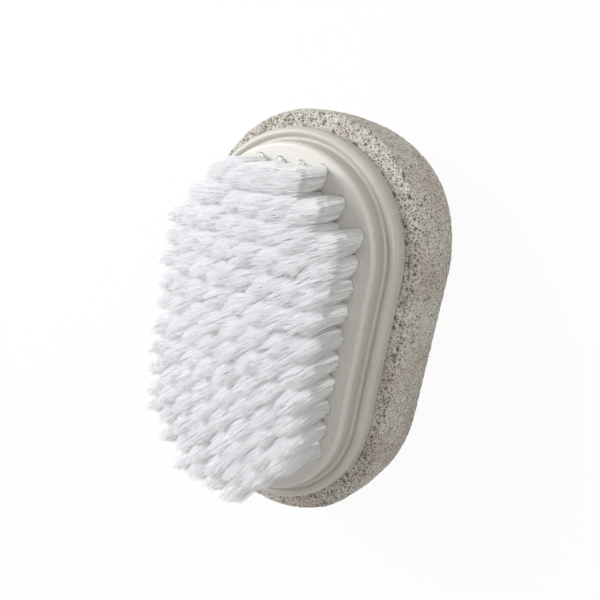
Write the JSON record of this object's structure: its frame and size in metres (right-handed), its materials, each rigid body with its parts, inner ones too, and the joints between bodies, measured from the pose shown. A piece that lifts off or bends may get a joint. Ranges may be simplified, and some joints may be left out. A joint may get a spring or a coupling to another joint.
{
  "type": "pumice foot brush",
  "caption": "Two-sided foot care brush: an oblong pumice stone glued to a stepped plastic base with a field of nylon tufts.",
  "frame": {"origin": "middle of the stone's rubbing face, on the surface it rests on", "axes": "+X along the brush's length, +Y across it, +Z from the stone's rubbing face up to the bristle tips"},
  "size_m": [0.0954, 0.0613, 0.0447],
  "materials": {
    "pumice": "rough, open pores",
    "cured_glue": "cured glue, satin",
    "ivory_plastic": "satin moulding",
    "white_nylon": "crimped filament"
  },
  "bodies": {
    "root": {"pumice_stone": "pumice", "adhesive_bed": "cured_glue", "brush_base": "ivory_plastic", "tuft_row_01": "white_nylon", "tuft_row_02": "white_nylon", "tuft_row_03": "white_nylon", "tuft_row_04": "white_nylon", "tuft_row_05": "white_nylon", "tuft_row_06": "white_nylon", "tuft_row_07": "white_nylon", "tuft_row_08": "white_nylon", "tuft_row_09": "white_nylon", "tuft_row_10": "white_nylon", "tuft_row_11": "white_nylon", "tuft_row_12": "white_nylon", "tuft_row_13": "white_nylon", "tuft_row_14": "white_nylon"}
  },
  "joints": []
}
